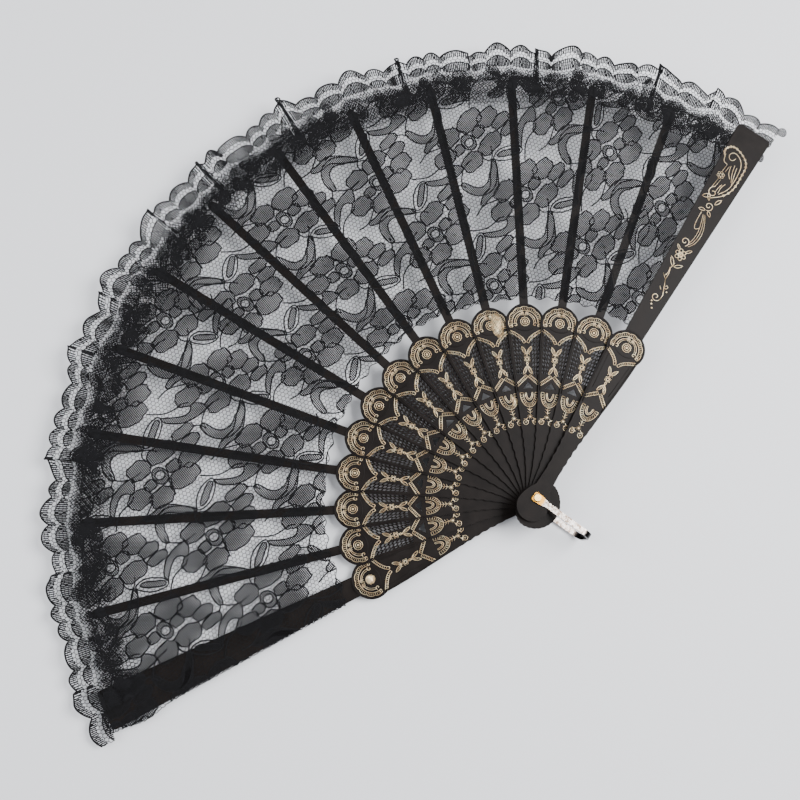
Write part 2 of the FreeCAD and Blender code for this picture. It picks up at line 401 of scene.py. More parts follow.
def spiral(x, y, radius, start, turn, steps=14):
    """Points of a curl that winds in to its centre from a radius and an angle."""
    t = np.linspace(0, 1, steps)
    angle = np.radians(start + turn * t)
    reach = radius * (1 - 0.82 * t)
    return np.column_stack((x + reach * np.cos(angle), y + reach * np.sin(angle)))


def leaf(base, tip, width, steps=7):
    """Closed outline of a pointed leaf from its base to its tip."""
    base = np.array(base, float)
    tip = np.array(tip, float)
    side = np.array((base[1] - tip[1], tip[0] - base[0])) / np.hypot(*(tip - base))
    t = np.linspace(0, 1, steps)[:, None]
    swell = width / 2 * np.sin(np.pi * t) ** 0.8
    middle = base + (tip - base) * t
    return np.vstack((middle + side * swell, (middle - side * swell)[-2:0:-1]))


def offset(points, distance):
    """A line drawn beside another one, at a distance to its left."""
    along = np.gradient(points, axis=0)
    along /= np.linalg.norm(along, axis=1)[:, None]
    return points + distance * np.column_stack((-along[:, 1], along[:, 0]))


def rungs(first, second, count, half_width, inset=0.12):
    """Short ticks between two lines that run side by side."""
    picks = np.linspace(0, len(first) - 1, count + 2)[1:-1]
    steps = np.arange(len(first))
    strokes = []
    for pick in picks:
        a = np.array([np.interp(pick, steps, first[:, i]) for i in (0, 1)])
        b = np.array([np.interp(pick, steps, second[:, i]) for i in (0, 1)])
        strokes.append(([a + (b - a) * inset, b + (a - b) * inset], half_width, False))
    return strokes


SHORTEST_RUN = 0.2


def hatch(outline, pitch, angle):
    """Parallel threads inside a closed outline, at an angle in degrees."""
    turn = math.radians(angle)
    c, s = math.cos(turn), math.sin(turn)
    spin = np.array(((c, -s), (s, c)))
    flat = np.asarray(outline) @ spin
    nxt = np.roll(flat, -1, axis=0)
    lines = []
    for level in np.arange(math.ceil(flat[:, 1].min() / pitch), flat[:, 1].max() / pitch) * pitch:
        crossing = (flat[:, 1] > level) != (nxt[:, 1] > level)
        a, b = flat[crossing], nxt[crossing]
        xs = np.sort(a[:, 0] + (b[:, 0] - a[:, 0]) * (level - a[:, 1]) / (b[:, 1] - a[:, 1]))
        lines += [np.array(((x0, level), (x1, level))) @ spin.T
                  for x0, x1 in zip(xs[::2], xs[1::2]) if x1 - x0 > SHORTEST_RUN]
    return lines


def smoothed(points, closed, rounds=2):
    """The same line with its corners cut off."""
    points = np.asarray(points, float)
    for _ in range(rounds):
        after = np.roll(points, -1, axis=0)
        cut = np.stack((0.75 * points + 0.25 * after, 0.25 * points + 0.75 * after), axis=1)
        cut = cut.reshape(-1, 2)
        points = cut if closed else np.vstack((points[:1], cut[:-2], points[-1:]))
    return points


def mirrored(strokes):
    """The strokes and their mirror image across the stick's middle line."""
    return strokes + [(np.array(p) * (1, -1), w, closed) for p, w, closed in strokes]


print("drawing tools ready")

# %% [markdown]
# ## The printed ornament of one stick
#
# Every stick carries the same print. From the top it is a scalloped crown with a rosette under it,
# a V of two ruled lines, a chain of leaves and a flower, a ruled chevron, a half-moon with rays,
# and a sprig that ends in two rings. Each is a few formulas, mirrored across the middle line.

# %% Ornament drawing
LINE = 0.13
FINE = 0.085
ROSETTE_X = 90.0


def crown():
    """Scalloped crown with rays, its inner scroll and the rosette."""
    lobes = 7
    t = np.linspace(0, lobes, 57)
    angle = np.radians(-108 + 216 * t / lobes)
    reach = 7.95 + 0.5 * np.abs(np.sin(np.pi * t)) ** 0.7
    outer = np.column_stack((ROSETTE_X - 0.6 + reach * np.cos(angle), (reach + 0.1) * np.sin(angle)))
    inner = arc(ROSETTE_X - 0.6, 0, 6.45, 6.75, -108, 108, 57)
    scroll = arc(ROSETTE_X - 0.4, 0, 5.1, 5.35, 8, 96, 14)
    strokes = [(outer, LINE, False), (inner, LINE, False)] + rungs(outer, inner, 29, 0.10, 0.22)
    half = [
        (scroll, LINE, False),
        (scroll * (1, 0.86) - (0.55, 0), FINE, False),
        (spiral(ROSETTE_X - 1.7, 5.05, 1.15, 60, -330), LINE, False),
        (spiral(ROSETTE_X - 2.5, 7.1, 0.95, 70, -300), LINE, False),
        (arc(94.0, 0.9, 0.9, 0.75, -60, 150, 7), FINE, False),
        (leaf((93.2, 0.3), (95.6, 1.5), 0.7), FINE, True),
        (arc(94.6, 2.6, 0.8, 0.9, -120, 60, 6), FINE, False),
    ]
    rosette = [
        (ring(ROSETTE_X, 0, 2.25, 20) + 0.12 * np.cos(np.pi * np.arange(20))[:, None], LINE, True),
        (ring(ROSETTE_X, 0, 1.35), 0.14, True),
        (ring(ROSETTE_X, 0, 0.4, 8), 0.2, True),
    ]
    return strokes + mirrored(half) + rosette


def ruled_band(points, width, ticks):
    """Two parallel lines with ticks between them."""
    other = offset(points, width)
    ends = [([points[i], other[i]], LINE, False) for i in (0, -1)]
    return [(points, LINE, False), (other, LINE, False)] + ends + rungs(points, other, ticks, FINE)


def v_band():
    """Ruled V under the head, with arms that flatten outwards."""
    y = np.linspace(0.25, 8.0, 12)
    x = 77.6 + 8.0 * (y / 8.0) ** 0.45
    return mirrored(ruled_band(np.column_stack((x, y)), 1.25, 9))


def chain():
    """Leaves, flower and beads down the middle strip."""
    petals = [(ring(70.6 + 1.35 * math.cos(a), 1.2 * math.sin(a), 0.42, 7), FINE, True)
              for a in np.radians(np.arange(0, 360, 60))]
    half = [
        (leaf((73.0, 0.25), (77.0, 2.5), 1.35), 0.15, True),
        ([(73.6, 0.6), (76.0, 1.9)], FINE, False),
        (leaf((66.9, 0.3), (62.7, 2.2), 1.25), 0.15, True),
        (arc(65.0, 0.2, 1.5, 1.0, 20, 120, 6), FINE, False),
        (arc(72.6, 0.8, 0.8, 0.6, -100, 100, 6), FINE, False),
    ]
    middle = [(ring(70.6, 0, 0.75, 9), 0.16, True), (ring(68.2, 0, 0.5, 8), 0.15, True),
              (ring(67.2, 0, 0.3, 6), 0.14, True), (ring(73.3, 0, 0.3, 6), 0.12, True)]
    return petals + mirrored(half) + middle


def chevron():
    """Ruled inverted V."""
    y = np.linspace(0.1, 5.3, 8)
    x = 61.5 - 0.92 * y
    return mirrored(ruled_band(np.column_stack((x, y)), -1.45, 7))


def half_moon():
    """Half-moon with rays, and a ruled arch inside it, under the small window."""
    outer = arc(53.3, 0, 7.3, 4.6, 90, 270, 21)
    inner = arc(53.3, 0, 5.4, 2.95, 90, 270, 21)
    arch = arc(53.3, 0, 3.9, 2.0, 90, 270, 15)
    core = arc(53.3, 0, 3.1, 1.35, 90, 270, 15)
    ends = [([a[i], b[i]], LINE, False) for a, b in ((outer, inner), (arch, core)) for i in (0, -1)]
    lines = [(outer, LINE, False), (inner, FINE, False), (arch, LINE, False), (core, LINE, False)]
    return lines + ends + rungs(outer, inner, 15, 0.14, 0.2)


def sprig():
    """Stem with small leaves, a burst and two rings."""
    strokes = [([(46.4, 0), (44.9, 0.15), (43.4, -0.1), (41.4, 0)], LINE, False)]
    for x in (44.9, 43.5):
        strokes += mirrored([([(x - 0.5, 0.1), (x + 0.35, 1.35)], 0.11, False)])
    for a in (35, 75, 115, 155):
        tip = (41.1 + 1.35 * math.cos(math.radians(a)), 1.35 * math.sin(math.radians(a)))
        strokes += mirrored([([(41.1, 0), tip], 0.11, False)])
    rings = [(ring(38.3, 2.4, 1.25, 12), 0.115, True), (ring(38.3, 2.4, 0.4, 6), 0.08, True),
             (arc(39.9, 1.1, 1.0, 1.0, 90, 200, 6), LINE, False),
             (arc(40.6, 2.7, 0.7, 1.3, 150, 280, 6), LINE, False)]
    return strokes + mirrored(rings)


ornament = crown() + v_band() + chain() + chevron() + half_moon() + sprig()
print("strokes in the ornament", len(ornament))

# %% Stamp the ornament on every stick
FOIL_PRESS = 0.3


def stamp(name, strokes, k):
    """Print strokes in foil on the front face of stick k."""
    mesh = strokes_to_mesh(name, strokes, 0, FOIL_PRESS, 0.012)
    mesh.transform(placing(k, layer(k, 1)))
    piece = add_object(name, mesh, foil)
    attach(piece, BODIES[k])
    return piece


for k in range(GAPS + 1):
    piece = stamp("foil_%02d" % k, ornament, k)
print("faces in one print", len(piece.data.polygons))

# %% [markdown]
# Two prints are smudged: on one stick the foil stuck to half of the crown, and on the rear guard
# the rosette is filled in.

# %% Smudges
SMUDGES = [(9, arc(89.4, -3.6, 6.6, 3.2, 0, 345, 14), 0.62, 0.17),
           (9, arc(49.5, -2.6, 2.6, 1.3, 0, 345, 10), 0.5, 0.17),
           (0, ring(ROSETTE_X, 0, 2.1, 12), 0.4, 0.27)]


def smudge(outline, pitch, half_width):
    """Uneven strokes side by side that nearly fill a closed outline."""
    lines = hatch(outline, pitch, 20) + hatch(outline, 1.6 * pitch, -48)
    return [(line, half_width * (0.7 + 0.5 * (i % 3)), False) for i, line in enumerate(lines)]


for i, (k, outline, pitch, half_width) in enumerate(SMUDGES):
    stamp("foil_smudge_%d" % (i + 1), smudge(outline, pitch, half_width), k)
print("smudges", len(SMUDGES))

# %% [markdown]
# ## The front guard's blade
#
# The blade has its own print: a vine that starts in three dots and a scroll, runs through leaves,
# flowers and a ribbed feather, and ends in a big curled plume.

# %% Vine on the blade


def plume():
    """Curled plume with ribs, edged with small scales."""
    back = smoothed(((184.6, 2.4), (188.6, -2.5), (194.3, -5.4), (199.5, -5.8), (204.5, -5.6),
                     (209.7, -5.6), (213.2, -3.5), (215.6, 0.7), (216.7, 5.3), (214.7, 8.2),
                     (211.5, 9.2), (209.4, 7.2), (206.3, 6.7), (205.7, 3.9)), False)
    inner = smoothed(((188.5, -0.1), (193.8, -3.5), (199.9, -3.9), (204.9, -3.7), (209.5, -2.9),
                      (212.7, -0.2), (213.9, 3.7), (211.7, 5.7), (209.2, 4.9), (208.8, 2.5),
                      (211.1, 1.6)), False)
    ribs = (((206.2, 1.8), (201.6, 1.0), (199.3, -1.1)), ((207.5, 0.2), (202.9, -0.5), (198.0, -2.7)),
            ((206.9, -1.4), (202.2, -2.2), (196.7, -3.6)), ((195.5, -0.6), (192.6, 0.6), (188.9, 0.5)),
            ((194.2, 0.9), (191.5, 1.8), (188.2, 2.0)))
    curl = smoothed(((191.5, 3.5), (189.8, 5.3), (186.9, 5.3), (185.5, 2.9), (187.2, 1.1), (189.0, 2.1),
                     (188.3, 3.7)), False)
    scales = [(ring(x, y, 0.62, 6), FINE, True) for x, y in back[6:46:2]]
    ribs = [(smoothed(rib, False), LINE, False) for rib in ribs]
    return [(back, 0.17, False), (inner, 0.14, False), (curl, 0.16, False)] + scales + ribs


def vine():
    """All strokes of the blade's print, from the gorge to the tip."""
    dots = [(ring(x, y, 0.28, 6), 0.2, True)
            for x, y in ((115.6, -0.5), (117.4, 0.7), (119.0, 1.4), (127.0, -3.0))]
    stem = [
        (spiral(122.0, 0.6, 2.5, -100, -420, 20), 0.18, False),
        ([(121.6, -1.9), (124.4, -2.2), (127.4, -1.0), (130.2, 0.0), (132.6, 0.9)], 0.18, False),
        (spiral(129.4, -1.5, 1.3, 150, 330, 12), LINE, False),
        ([(126.6, 0.2), (128.2, 1.6)], 0.2, False),
        ([(132.6, 0.9), (135.2, 3.6)], LINE, False),
        ([(132.6, 0.9), (136.0, 0.9), (139.5, 1.7), (143.0, 1.0)], 0.16, False),
        (arc(137.2, 2.6, 3.0, 1.0, 200, 330, 8), LINE, False),
        (leaf((140.8, 1.0), (145.5, 4.4), 1.6), LINE, True),
        (leaf((140.8, 0.6), (143.8, -3.4), 1.5), LINE, True),
    ]
    flower = [(ring(148.6 + 2.3 * math.cos(a), 0.7 + 2.1 * math.sin(a), 0.95, 9), LINE, True)
              for a in np.radians(np.arange(20, 380, 60))]
    flower += [(ring(148.6, 0.7, 1.0, 10), 0.2, True), (ring(148.6, 0.7, 0.35, 6), 0.2, True),
               (leaf((150.6, 2.2), (153.0, 4.8), 1.0), LINE, True),
               (leaf((150.8, -0.8), (153.6, -3.6), 1.3), LINE, True)]
    feather = [(spiral(156.2, 2.3, 2.6, -150, 430, 20), 0.17, False)]
    for s in (0.0, 1.2, 2.4):
        line = ((154.4 + s, -0.5 + s / 3), (157.4, -2.8 + s), (162.7, -3.7 + s), (168.1, -2.9 + s),
                (174.4, 0.2 + 0.5 * s))
        feather.append((smoothed(line, False), FINE, False))
    feather += [(smoothed(((166.7, -0.6), (164.6, 1.2), (166.7, 2.4), (171.0, 2.8), (175.2, 2.8)), False),
                 LINE, False)]
    bud = [(spiral(179.9, 1.0, 2.6, 180, 470, 18), 0.16, False),
           (leaf((177.2, 1.6), (176.2, 5.2), 1.5), LINE, True),
           (leaf((177.4, 0.2), (175.0, -2.3), 1.5), LINE, True),
           (leaf((182.4, -1.2), (186.6, -3.2), 1.6), LINE, True),
           (leaf((182.6, 2.4), (186.8, 4.8), 1.3), LINE, True)]
    link = [(((190.5, 4.9), (196.1, 4.2)), LINE, False), (((191.0, 3.6), (196.3, 2.8)), LINE, False),
            (((201.2, 4.4), (205.3, 3.9)), LINE, False), (((201.4, 2.9), (205.3, 2.4)), LINE, False),
            (leaf((183.2, 6.9), (185.9, 3.0), 2.0), LINE, True)]
    link += [(ring(198.6 + 1.4 * math.cos(a), 4.1 + 1.4 * math.sin(a), 0.7, 7), FINE, True)
             for a in np.radians(np.arange(0, 360, 60))]
    return dots + stem + flower + feather + bud + link + plume()


BLADE_FRONT = 1.5
mesh = strokes_to_mesh("foil_blade", vine(), 0, FOIL_PRESS, 0.012)
mesh.transform(placing(GAPS, layer(GAPS) + BLADE_FRONT))
blade_print = add_object("foil_blade", mesh, foil)
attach(blade_print, "front_guard")
print("faces on the blade's print", len(mesh.polygons))

# %% [markdown]
# ## Raised mouldings
#
# Round the head and the gorge of each stick runs a low raised rim, and a shallow ridge smiles
# under the rosette. They are strokes too, but in black and a little wider.

# %% Raised rims
RIM_PRESS = 0.35


def rim_strokes():
    """Rim of the head and gorge, and the ridges round the rosette."""
    head = arc(89.6, 0, 9.3, 9.2, -112, 112, 40)
    bars = [([(86.0, 8.2), (80.0, 7.9), (70.0, 7.25), (60.0, 6.2), (54.0, 5.5)], 0.35, False),
            ([(83.6, 6.5), (74.0, 5.7), (63.0, 4.7)], 0.16, False)]
    smile = [(arc(ROSETTE_X - 0.4, 0, 4.3, 6.2, 125, 235, 16), 0.28, False)]
    return [(head, 0.36, False)] + mirrored(bars) + smile


for k in range(GAPS + 1):
    mesh = strokes_to_mesh("rim_%02d" % k, rim_strokes(), 1, RIM_PRESS, 0.0)
    mesh.transform(placing(k, layer(k, 1)))
    rim = add_object("rim_%02d" % k, mesh, plastic)
    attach(rim, BODIES[k])
print("rims on", GAPS + 1, "sticks")

# %% [markdown]
# ## Lace, thread by thread
#
# Machine lace is a ground of hexagonal net with denser figures worked into it: petals, leaves and
# bands filled with crossing threads and edged with a thicker cord. Drawn as an image it would be
# flat, and see-through only by a trick. Here every thread is a thin bevelled spline. The cloth is
# one flat piece, so its pattern is laid out over the whole leaf, and each gap between two ribs then
# takes the part that falls in it.

# %% Threads
NET_THREAD = 0.15
FILL_THREAD = 0.245
CORD = 0.34
NET_SIDE = 1.17
WARP_PITCH = 0.86
WEFT_PITCH = 0.8
HALF_GAP = GAP / 2


def clip_polyline(points, inside):
    """Runs of a polyline on the positive side of a signed function of its points."""
    points = np.asarray(points, float)
    value = inside(points)
    if value.min() > 0:
        return [points]
    if value.max() <= 0:
        return []
    runs = []
    run = []
    for i in range(len(points)):
        if value[i] > 0:
            run.append(points[i])
        if i + 1 < len(points) and (value[i] > 0) != (value[i + 1] > 0):
            cut = points[i] + (points[i + 1] - points[i]) * value[i] / (value[i] - value[i + 1])
            run.append(cut)
            if value[i] > 0:
                runs.append(np.array(run))
                run = []
    if len(run) > 1:
        runs.append(np.array(run))
    return [r for r in runs if len(r) > 1]


def net(x0, x1, y0, y1, side=NET_SIDE):
    """Zigzag rows along X, and the links between them, of a hexagonal net over a rectangle."""
    step = math.sqrt(3) / 2 * side
    j = np.arange(math.floor(x0 / step), math.ceil(x1 / step) + 1)
    rows = []
    links = []
    for i in range(math.floor(y0 / (1.5 * side)), math.ceil(y1 / (1.5 * side)) + 1):
        y = i * 1.5 * side
        up = (i + j) % 2 == 0
        rows.append(np.column_stack((j * step, y + np.where(up, side / 4, -side / 4))))
        links += [np.array(((x, y + side / 4), (x, y + 1.25 * side))) for x in j[up] * step]
    return rows, links


print("one net cell is", round(math.sqrt(3) * NET_SIDE, 2), "mm wide")

# %% [markdown]
# ## Figures of the lace
#
# One repeat of the pattern holds a flower with a ring in its middle, a leaf of clear net with a
# hatched spine, a broad band that carries on from the leaf's tip, and a round eye of clear net
# with a banded rim. Each shape is a closed outline in millimetres about the flower's middle. The
# filled ones get crossing threads, and the cords outline them and tie them together.

# %% Figure shapes
PETALS = ((-6.5, -0.8, 3.2, 2.3), (7.5, 0.0, 3.4, 2.5), (-6.2, 8.4, 5.9, 4.2), (7.2, 8.8, 6.8, 4.0),
          (-14.9, -3.0, 6.1, 4.1), (-6.0, -8.8, 6.3, 4.1), (8.2, -7.4, 7.1, 4.4),
          (15.9, -1.6, 5.8, 3.9), (20.2, 10.6, 5.4, 2.4), (19.6, 4.8, 5.2, 2.7))
LEAF = ((2.2, 15.3), (3.7, 18.3), (7.2, 21.8), (11.2, 23.6), (14.7, 24.1), (17.0, 23.3), (16.2, 20.3),
        (14.2, 18.3), (11.2, 15.8), (8.2, 14.6), (5.2, 14.3))
SPINE = ((4.4, 15.9), (6.5, 18.5), (9.5, 20.5), (12.0, 22.2), (14.7, 23.4), (16.0, 21.8), (14.2, 20.0),
         (11.8, 18.6), (9.4, 16.6), (6.7, 15.4))
BAND = ((16.2, 22.8), (18.2, 21.3), (21.2, 18.8), (24.2, 16.8), (27.2, 15.8), (29.7, 16.8),
        (30.7, 18.8), (33.2, 18.3), (36.2, 14.3), (36.2, 12.3), (33.2, 11.9), (29.2, 12.1),
        (25.2, 12.9), (22.2, 14.1), (19.2, 16.6), (16.7, 19.3))
EYE_RIM = ((-20.2, -27.3), (-20.2, -22.0), (-18.0, -17.2), (-14.5, -14.6), (-10.0, -13.8),
           (-6.0, -14.8), (-3.0, -17.1), (0.4, -19.6), (2.0, -22.8), (1.2, -24.8), (-2.0, -21.8),
           (-5.0, -21.0), (-7.6, -18.8), (-11.0, -18.2), (-14.0, -19.4), (-15.9, -22.2),
           (-16.6, -25.3), (-18.0, -28.2))
TRAIL = ((-19.8, -12.2), (-15.8, -13.9), (-9.8, -13.4), (-6.4, -15.7), (-3.4, -18.7), (-0.8, -21.4),
         (2.2, -24.4))
TIES = (((-19.0, -27.3), (-16.5, -30.0), (-13.2, -32.2), (-9.6, -32.9), (-5.5, -32.5)),
        ((13.2, 28.3), (17.0, 24.6), (20.7, 22.3), (25.2, 21.6), (28.2, 21.9), (31.0, 20.0)),
        ((-10.5, -7.6), (-14.0, -9.4), (-19.8, -12.2), (-26.0, -10.8)),
        ((2.2, 15.3), (-0.5, 13.8), (-1.0, 10.0)), ((3.0, -4.2), (1.2, -7.5), (0.0, -12.0)),
        ((1.2, -24.8), (4.5, -27.0), (6.2, -29.8)), ((25.0, 10.0), (28.0, 8.0), (29.5, 4.5)))


def moved(points, x, y, angle, size=1.0):
    """Shape turned by an angle in degrees, scaled and moved."""
    c, s = math.cos(math.radians(angle)) * size, math.sin(math.radians(angle)) * size
    return np.asarray(points) @ np.array(((c, s), (-s, c))) + (x, y)


def petal(length, width, steps=20):
    """Closed egg shape along +X, narrow at the origin."""
    t = np.linspace(0, 2 * np.pi, steps, endpoint=False)
    return np.column_stack((length * (1 - np.cos(t)) / 2, width / 2 * np.sin(t) * (1 - 0.28 * np.cos(t))))


def band(path, width):
    """Closed ribbon that follows a path and tapers to both ends."""
    t = np.linspace(0, 1, len(path))
    half = width / 2 * np.sin(np.pi * (0.06 + 0.9 * t))[:, None] ** 0.5
    along = np.gradient(path, axis=0)
    along /= np.linalg.norm(along, axis=1)[:, None]
    side = np.column_stack((-along[:, 1], along[:, 0]))
    return np.vstack((path + side * half, (path - side * half)[::-1]))


def boxy(x, y, rx, ry):
    """Closed oval with full corners and a slightly wavy edge."""
    t = np.radians(np.arange(0, 360, 15))
    wavy = 1.05 + 0.05 * np.cos(5 * t + x) + 0.05 * np.cos(8 * t + y)
    c, s = np.cos(t), np.sin(t)
    across = rx * np.sign(c) * np.abs(c) ** 0.8
    up = ry * np.sign(s) * np.abs(s) ** 0.8
    return np.column_stack((x + across * wavy, y + up * wavy))


def repeat_shapes():
    """Fills and cords of one repeat; a cord is (line, closed)."""
    fills = [boxy(*petal) for petal in PETALS]
    fills += [smoothed(SPINE, True), smoothed(BAND, True), smoothed(EYE_RIM, True)]
    fills.append(smoothed(band(smoothed(TRAIL, False, 1), 4.2), True, 1))
    outer, inner = arc(0, 0, 3.6, 4.5, 0, 360, 21), arc(0.1, 0.3, 2.4, 2.1, 360, 0, 21)
    cords = [(shape, True) for shape in fills] + [(outer, False), (inner, False)]
    cords += [(smoothed(LEAF, True), True)] + [(smoothed(line, False), False) for line in TIES]
    return fills + [np.vstack((outer, inner))], cords


FILLS, CORDS = repeat_shapes()
print("fills in a repeat", len(FILLS), "cords", len(CORDS))

# %% [markdown]
# A repeat is 40 mm high, and the repeats stand in upright columns about 47 mm apart. Every second
# column is turned over and starts about half a repeat higher. The columns are not quite evenly
# spaced, as if the cloth had been pulled a little as it was glued, so each repeat is stretched to
# meet its neighbours.

# %% Figures over the whole leaf
REPEAT = 40.0
COLUMN_WIDTH = 47.5
COLUMNS = ((-270.0, 32.0, 0.0), (-222.0, 12.0, 0.0), (-176.0, 33.0, 0.0), (-130.0, 11.0, 0.0),
           (-78.0, 28.5, 0.0), (-37.0, 8.8, -0.15), (8.6, 29.5, -0.13), (54.5, 13.0, -0.11),
           (103.0, 38.5, -0.08), (153.5, 25.7, 0.0), (200.0, 48.0, 0.0), (247.0, 30.0, 0.0))


def fit_to_column(points, c, y0, flip):
    """Put a shape of the repeat at a height in column c, stretched to meet the next columns."""
    points = np.asarray(points, float) * (1, flip)
    right = points[:, 0] > 0
    near, far = [(COLUMNS[c + i + 1][0] - COLUMNS[c + i][0]) / COLUMN_WIDTH for i in (-1, 0)]
    drop, rise = [(COLUMNS[c + i + 1][1] - COLUMNS[c + i][1]) % REPEAT - REPEAT / 2 for i in (-1, 0)]
    shear = np.where(right, rise, drop) * points[:, 0] / COLUMN_WIDTH
    y = points[:, 1] + shear + y0
    x = points[:, 0] * np.where(right, far, near) + COLUMNS[c][0] + COLUMNS[c][2] * (y - 130.0)
    return np.column_stack((x, y))


def leaf_figures():
    """Every repeat that touches the leaf, as (fills, cords) in the fan's plane."""
    figures = []
    for c in range(1, len(COLUMNS) - 1):
        flip = 1 if c % 2 else -1
        for row in range(-1, 7):
            y0 = COLUMNS[c][1] + REPEAT * row
            middle = np.array((COLUMNS[c][0] + COLUMNS[c][2] * (y0 - 130.0), y0))
            if 70 < np.hypot(*middle) < 265:
                place = lambda shape: fit_to_column(shape, c, y0, flip)
                figures.append(([place(shape) for shape in FILLS],
                                [(place(line), closed) for line, closed in CORDS]))
    return figures


FIGURES = leaf_figures()
print("repeats on the leaf", len(FIGURES))

# %% [markdown]
# ## The leaf over one gap
#
# The leaf lies on the fronts of the ribs, so from one stick to the next it climbs one layer. Its
# points are worked out in the middle direction of the gap, cut at the two ribs' middle lines, and
# lifted along that slope. Between the ribs the cloth is never quite flat, so it waves a little.

# %% Panels
LACE_LIFT = 0.12


def lace_height(k):
    """Height in mm of the middle of the lace where stick k carries it."""
    node = "lace_panel_%02d" % min(k + 1, GAPS)
    low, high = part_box(node)
    return (low[2] / MM if k < GAPS else high[2] / MM - 2 * LACE_LIFT) + LACE_LIFT


def panel_surface(k):
    """Function from flat points to points on the lace over gap k, with the gap's middle along +X."""
    near, far = lace_height(k), lace_height(k + 1)

    def lift(points):
        turn = np.arctan2(points[:, 1], points[:, 0])
        part = np.clip(0.5 - turn / GAP, 0, 1)
        reach = np.hypot(points[:, 0], points[:, 1])
        wave = 0.35 * np.sin(np.pi * part) * (1 + np.sin(reach / 11.0 + 2.1 * k))
        return np.column_stack((points, near + (far - near) * part + wave))
    return lift


def divide(points, step):
    """The same line with no run longer than a step."""
    out = [points[:1]]
    for a, b in zip(points[:-1], points[1:]):
        count = max(1, int(np.ceil(np.linalg.norm(b - a) / step)))
        out.append(a + (b - a) * (np.arange(1, count + 1) / count)[:, None])
    return np.vstack(out)


def in_any(points, outlines):
    """Which points lie inside any of the closed outlines."""
    found = np.zeros(len(points), bool)
    for outline in outlines:
        near = np.all((points > outline.min(axis=0)) & (points < outline.max(axis=0)), axis=1)
        if not near.any():
            continue
        p = points[near]
        hit = np.zeros(len(p), bool)
        for a, b in zip(outline, np.roll(outline, -1, axis=0)):
            crosses = (a[1] > p[:, 1]) != (b[1] > p[:, 1])
            if crosses.any():
                x = a[0] + (b[0] - a[0]) * (p[:, 1] - a[1]) / (b[1] - a[1] + 1e-12)
                hit ^= crosses & (p[:, 0] < x)
        found[near] |= hit
    return found


def turned(points, angle):
    """Points turned about the rivet by an angle in radians."""
    c, s = math.cos(angle), math.sin(angle)
    return np.asarray(points) @ np.array(((c, s), (-s, c)))


def reaches(shape, turn, inside):
    """Whether a shape may reach into a region of the turned plane."""
    middle = (shape.min(axis=0) + shape.max(axis=0)) / 2
    size = np.hypot(*np.ptp(shape, axis=0)) / 2
    return inside(turned(middle[None], -turn))[0] > -size


def cloth(turn, low, high, half_width, inside):
    """Threads of the leaf in a box along the direction turn, cut to a region of the turned plane."""
    fills = [shape for figure in FIGURES for shape in figure[0] if reaches(shape, turn, inside)]
    cords = [(line, closed) for figure in FIGURES for line, closed in figure[1]
             if reaches(line, turn, inside)]
    corners = turned([(x, y) for x in (low, high) for y in (-half_width, half_width)], turn)
    (x0, y0), (x1, y1) = corners.min(axis=0), corners.max(axis=0)
    rows, links = net(x0, x1, y0, y1)
    threads = []
    for lines, half in ((rows, NET_THREAD), (links, 0.65 * NET_THREAD)):
        for line in lines:
            for run in clip_polyline(turned(line, -turn), inside):
                keep = ~in_any(turned((run[1:] + run[:-1]) / 2, turn), fills)
                for piece in np.split(np.arange(len(keep)), np.where(np.diff(keep.astype(int)))[0] + 1):
                    if len(piece) and keep[piece[0]]:
                        threads.append((run[piece[0]:piece[-1] + 2], half))
    for shape in fills:
        for line in hatch(shape, WARP_PITCH, 88):
            threads += [(run, FILL_THREAD) for run in clip_polyline(turned(line, -turn), inside)]
        for line in hatch(shape, WEFT_PITCH, 4):
            threads += [(run, 0.7 * FILL_THREAD) for run in clip_polyline(turned(line, -turn), inside)]
    for line, closed in cords:
        line = turned(np.vstack((line, line[:1])) if closed else line, -turn)
        threads += [(run, CORD) for run in clip_polyline(line, inside)]
    return threads


def inner_edge(k, across):
    """Distance at which the lace over gap k begins; it is cut unevenly, just past the heads."""
    return LACE_START - 3.0 + (2.2 if k < 8 else 0.3) + 0.9 * np.sin(0.75 * across + 2.2 * k)


def panel_threads(k):
    """All threads of the leaf over gap k, as flat lines with their half-widths."""
    slope = math.tan(HALF_GAP)

    def inside(points):
        side = (points[:, 0] * slope - np.abs(points[:, 1])) * math.cos(HALF_GAP)
        ends = np.minimum(points[:, 0] - inner_edge(k, points[:, 1]), RIB_END - points[:, 0])
        return np.minimum(side, ends)

    threads = cloth(direction(k) - HALF_GAP, LACE_START - 5, RIB_END, RIB_END * slope, inside)
    across = np.linspace(-LACE_START * slope, LACE_START * slope, 24) * 0.985
    return threads + [(np.column_stack((inner_edge(k, across) + 0.1, across)), NET_THREAD * 1.3)]


def gap_matrix(k):
    """Matrix from mm in a gap's middle direction to the fan."""
    return Matrix.Rotation(direction(k) - HALF_GAP, 4, "Z") @ Matrix.Scale(MM, 4)


def blend_over_gap(piece, k):
    """Bake the placing of a piece of lace over gap k into its mesh."""
    reach = LACE_START * MM
    ends = [Vector((reach * math.cos(direction(i)), reach * math.sin(direction(i)), 0)) for i in (k, k + 1)]
    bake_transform(piece)


for k in range(GAPS):
    name = "lace_panel_%02d" % (k + 1)
    lift = panel_surface(k)
    strokes = [(lift(divide(line, 4.0)), half, False) for line, half in panel_threads(k)]
    mesh = strokes_to_mesh(name + "_threads", strokes)
    mesh.transform(gap_matrix(k))
    piece = add_object(name + "_threads", mesh, thread)
    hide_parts(name)
    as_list(NODE_OF[k:k + 2])
    blend_over_gap(piece, k)
    print(name, "faces", len(mesh.polygons))

# %% [markdown]
# ## The gathered edge
#
# Past the rib tips the cloth is fuller than the arc it hangs on, so it waves, gathers and throws a
# sharp pleat here and there. Its edge is cut in large and small scallops. Along the edge runs a
# comb of short stitches, below every scallop lies a dark crescent of longer ones, and then comes
# the crumpled zone, where the cloth is doubled and its figures lie over each other.

